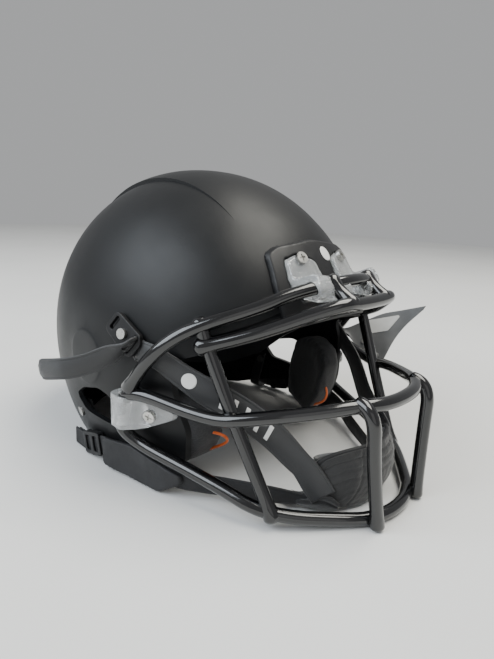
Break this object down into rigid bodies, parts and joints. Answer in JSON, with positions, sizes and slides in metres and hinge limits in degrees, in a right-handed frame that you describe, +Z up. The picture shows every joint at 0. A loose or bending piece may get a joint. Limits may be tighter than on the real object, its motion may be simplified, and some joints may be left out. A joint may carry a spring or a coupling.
{
  "type": "american football helmet",
  "caption": "American football helmet with a wire facemask, clear bar clips, padded liner and four-point chin strap with a tilting chin cup.",
  "frame": {"origin": "centre of the bounding box in plan, on the surface the helmet stands on", "axes": "+Z up, the wearer faces -Y, the wearer's right side is at -X"},
  "size_m": [0.3115, 0.352, 0.2236],
  "materials": {
    "shell_black": "satin charcoal paint",
    "bumper_black": "satin moulded rubbery plastic",
    "mask_black": "glossy plastic coating on steel wire",
    "clip_clear": "clear moulded plastic",
    "steel": "plated steel",
    "buckle_black": "moulded plastic",
    "webbing_black": "coated webbing",
    "tab_grey": "soft grey moulded plastic",
    "label_white": "blank printed label",
    "cup_black": "moulded cup",
    "foam_black": "foam pad under a coated fabric",
    "bonnet_grey": "thin moulded plastic",
    "absorber_grey": "moulded thermoplastic",
    "cord_orange": "orange cord"
  },
  "bodies": {
    "helmet_root": {"outer_shell": "shell_black", "front_bumper": "bumper_black", "rear_bumper": "bumper_black", "mask_main_bar": "mask_black", "mask_chin_bar": "mask_black", "mask_upper_brow_bar": "mask_black", "mask_lower_brow_bar": "mask_black", "mask_side_vertical_right": "mask_black", "mask_side_vertical_left": "mask_black", "mask_front_vertical_right": "mask_black", "mask_front_vertical_left": "mask_black", "mask_brow_tie_right": "mask_black", "mask_brow_tie_left": "mask_black", "forehead_clip_right": "clip_clear", "side_clip_right": "clip_clear", "upper_strap_right": "webbing_black", "lower_strap_right": "webbing_black", "lower_strap_guard_right": "webbing_black", "lower_strap_anchor_right": "webbing_black", "side_pad_right": "foam_black", "jaw_pad_right": "foam_black", "fit_cord_right": "cord_orange", "forehead_clip_left": "clip_clear", "side_clip_left": "clip_clear", "upper_strap_left": "webbing_black", "lower_strap_left": "webbing_black", "lower_strap_guard_left": "webbing_black", "lower_strap_anchor_left": "webbing_black", "side_pad_left": "foam_black", "jaw_pad_left": "foam_black", "fit_cord_left": "cord_orange", "clip_screws": "steel", "clip_t_nuts": "steel", "buckle_studs": "steel", "tab_rivets": "steel", "anchor_rivets": "steel", "upper_strap_tab_left": "tab_grey", "tab_label": "label_white", "bonnet": "bonnet_grey", "shock_absorbers": "absorber_grey", "crown_pad": "foam_black", "front_pad": "foam_black", "rear_pad": "foam_black"},
    "upper_buckle_right_body": {"upper_buckle_right": "buckle_black", "upper_strap_tail_right": "webbing_black"},
    "upper_buckle_left_body": {"upper_buckle_left": "buckle_black"},
    "chin_cup_body": {"chin_cup_shell": "cup_black", "chin_cup_pad": "foam_black", "cup_strap_ends_upper": "webbing_black", "cup_strap_ends_lower": "webbing_black"},
    "lower_slider_right_body": {"lower_slider_right": "buckle_black"},
    "lower_slider_left_body": {"lower_slider_left": "buckle_black"}
  },
  "joints": [
    {"name": "upper_buckle_right_swivel", "type": "hinge", "parent": "helmet_root", "child": "upper_buckle_right_body", "pos_m": [-0.10998, -0.018, 0.1104], "axis": [-0.96, -0.2397, 0.1445], "range_deg": [-12, 12]},
    {"name": "upper_buckle_left_swivel", "type": "hinge", "parent": "helmet_root", "child": "upper_buckle_left_body", "pos_m": [0.10998, -0.018, 0.1104], "axis": [0.96, -0.2397, 0.1445], "range_deg": [-12, 12]},
    {"name": "chin_cup_tilt", "type": "hinge", "parent": "helmet_root", "child": "chin_cup_body", "pos_m": [0, -0.131, 0.013], "axis": [1, 0, 0], "range_deg": [-12, 4]},
    {"name": "lower_slider_right_slide", "type": "slide", "parent": "helmet_root", "child": "lower_slider_right_body", "axis": [0, -0.97, 0.243], "range_m": [-0.002, 0.004]},
    {"name": "lower_slider_left_slide", "type": "slide", "parent": "helmet_root", "child": "lower_slider_left_body", "axis": [0, -0.97, 0.243], "range_m": [-0.002, 0.004]}
  ]
}
